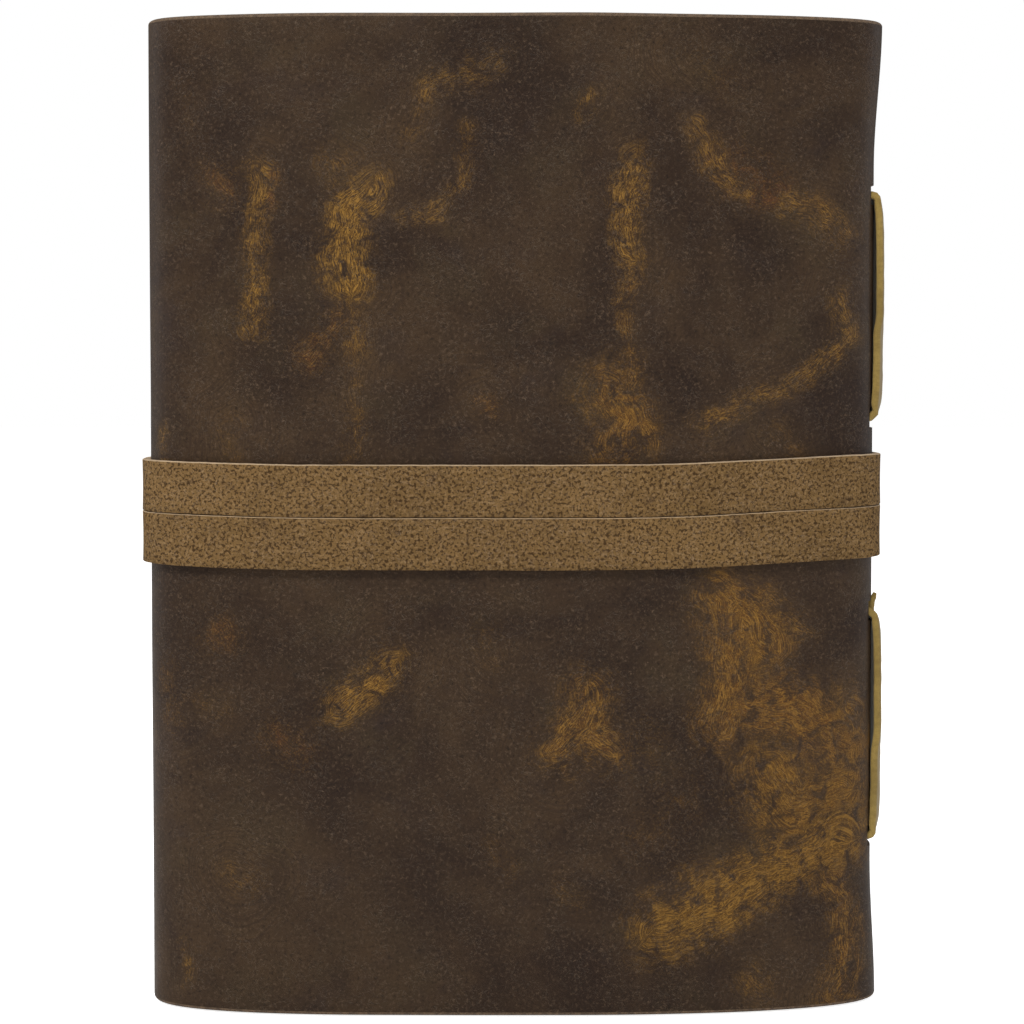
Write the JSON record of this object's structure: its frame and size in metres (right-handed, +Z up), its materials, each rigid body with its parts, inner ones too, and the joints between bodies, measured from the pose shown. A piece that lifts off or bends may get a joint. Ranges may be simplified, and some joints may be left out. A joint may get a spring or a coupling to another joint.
{
  "type": "leather notebook cover",
  "caption": "Wrap-around leather notebook cover with sewn paper inside, a thong laced through the spine and a long strap that winds round the closed book.",
  "frame": {"origin": "on the surface that the journal stands on, under the middle of its box", "axes": "+Z up along the spine from tail to head, back cover facing -Y, front flap facing +Y, spine at +X, fore-edge at -X"},
  "size_m": [0.156, 0.0428, 0.204],
  "materials": {
    "hide_leather": "satin oiled leather with rubbed tan patches",
    "strap_leather": "matte nubuck",
    "thong_leather": "matte raw leather",
    "paper": "uncoated handmade paper",
    "liner_cloth": "woven cotton",
    "linen_thread": "waxed linen"
  },
  "bodies": {
    "back": {"back_cover": "hide_leather"},
    "spine": {"spine_panel": "hide_leather", "spine_liner": "liner_cloth", "lacing_thong": "thong_leather", "sewing_thread_head": "linen_thread", "sewing_thread_upper": "linen_thread", "sewing_thread_lower": "linen_thread", "sewing_thread_tail": "linen_thread"},
    "front": {"front_cover": "hide_leather"},
    "wrap": {"fore_edge_wrap": "hide_leather"},
    "flap": {"front_flap": "hide_leather", "strap_anchor_run": "strap_leather", "strap_upper_turn": "strap_leather", "strap_crossing": "strap_leather", "strap_lower_turn": "strap_leather", "anchor_stitch_1": "linen_thread", "anchor_stitch_2": "linen_thread", "anchor_stitch_3": "linen_thread"},
    "strap_tail": {"strap_tail": "strap_leather"},
    "signature_1": {"signature_1": "paper"},
    "signature_2": {"signature_2": "paper"},
    "signature_3": {"signature_3": "paper"},
    "signature_4": {"signature_4": "paper"},
    "signature_5": {"signature_5": "paper"},
    "signature_6": {"signature_6": "paper"},
    "signature_7": {"signature_7": "paper"},
    "signature_8": {"signature_8": "paper"}
  },
  "joints": [
    {"name": "spine_hinge", "type": "hinge", "parent": "back", "child": "spine", "pos_m": [0.06855, -0.01175, 0.102], "axis": [0, 0, -1], "range_deg": [0, 75]},
    {"name": "front_cover_hinge", "type": "hinge", "parent": "spine", "child": "front", "pos_m": [0.06855, 0.00685, 0.102], "axis": [0, 0, -1], "range_deg": [0, 75.5]},
    {"name": "wrap_hinge", "type": "hinge", "parent": "back", "child": "wrap", "pos_m": [-0.05845, -0.017, 0.102], "axis": [0, 0, 1], "range_deg": [0, 90.5], "deforming": ["fore_edge_wrap"]},
    {"name": "flap_hinge", "type": "hinge", "parent": "wrap", "child": "flap", "pos_m": [-0.05845, 0.0144, 0.102], "axis": [0, 0, 1], "range_deg": [0, 90.5], "deforming": ["front_flap", "strap_anchor_run", "strap_upper_turn", "strap_crossing", "strap_lower_turn", "anchor_stitch_1", "anchor_stitch_2", "anchor_stitch_3"]},
    {"name": "strap_tail_lift", "type": "hinge", "parent": "flap", "child": "strap_tail", "pos_m": [-0.05245, 0.01728, 0.0964], "axis": [0, 0, 1], "range_deg": [0, 70], "deforming": ["strap_tail"]},
    {"name": "signature_1_hinge", "type": "hinge", "parent": "spine", "child": "signature_1", "pos_m": [0.06295, -0.01027, 0.102], "axis": [0, 0, -1], "range_deg": [-58.84, 0]},
    {"name": "signature_2_hinge", "type": "hinge", "parent": "spine", "child": "signature_2", "pos_m": [0.06295, -0.00804, 0.102], "axis": [0, 0, -1], "range_deg": [-42.17, 0]},
    {"name": "signature_3_hinge", "type": "hinge", "parent": "spine", "child": "signature_3", "pos_m": [0.06295, -0.0058, 0.102], "axis": [0, 0, -1], "range_deg": [-25.5, 0]},
    {"name": "signature_4_hinge", "type": "hinge", "parent": "spine", "child": "signature_4", "pos_m": [0.06295, -0.00357, 0.102], "axis": [0, 0, -1], "range_deg": [-8.83, 0]},
    {"name": "signature_5_hinge", "type": "hinge", "parent": "spine", "child": "signature_5", "pos_m": [0.06295, -0.00133, 0.102], "axis": [0, 0, -1], "range_deg": [0, 8.83]},
    {"name": "signature_6_hinge", "type": "hinge", "parent": "spine", "child": "signature_6", "pos_m": [0.06295, 0.0009, 0.102], "axis": [0, 0, -1], "range_deg": [0, 25.5]},
    {"name": "signature_7_hinge", "type": "hinge", "parent": "spine", "child": "signature_7", "pos_m": [0.06295, 0.00314, 0.102], "axis": [0, 0, -1], "range_deg": [0, 42.17]},
    {"name": "signature_8_hinge", "type": "hinge", "parent": "spine", "child": "signature_8", "pos_m": [0.06295, 0.00537, 0.102], "axis": [0, 0, -1], "range_deg": [0, 58.84]}
  ],
  "couplings": [
    {"joint": "front_cover_hinge", "follows": "spine_hinge", "ratio": 1},
    {"joint": "wrap_hinge", "follows": "spine_hinge", "ratio": 1.2},
    {"joint": "flap_hinge", "follows": "spine_hinge", "ratio": 1.2},
    {"joint": "signature_1_hinge", "follows": "spine_hinge", "ratio": -0.7778},
    {"joint": "signature_2_hinge", "follows": "spine_hinge", "ratio": -0.5556},
    {"joint": "signature_3_hinge", "follows": "spine_hinge", "ratio": -0.3333},
    {"joint": "signature_4_hinge", "follows": "spine_hinge", "ratio": -0.1111},
    {"joint": "signature_5_hinge", "follows": "spine_hinge", "ratio": 0.1111},
    {"joint": "signature_6_hinge", "follows": "spine_hinge", "ratio": 0.3333},
    {"joint": "signature_7_hinge", "follows": "spine_hinge", "ratio": 0.5556},
    {"joint": "signature_8_hinge", "follows": "spine_hinge", "ratio": 0.7778}
  ]
}
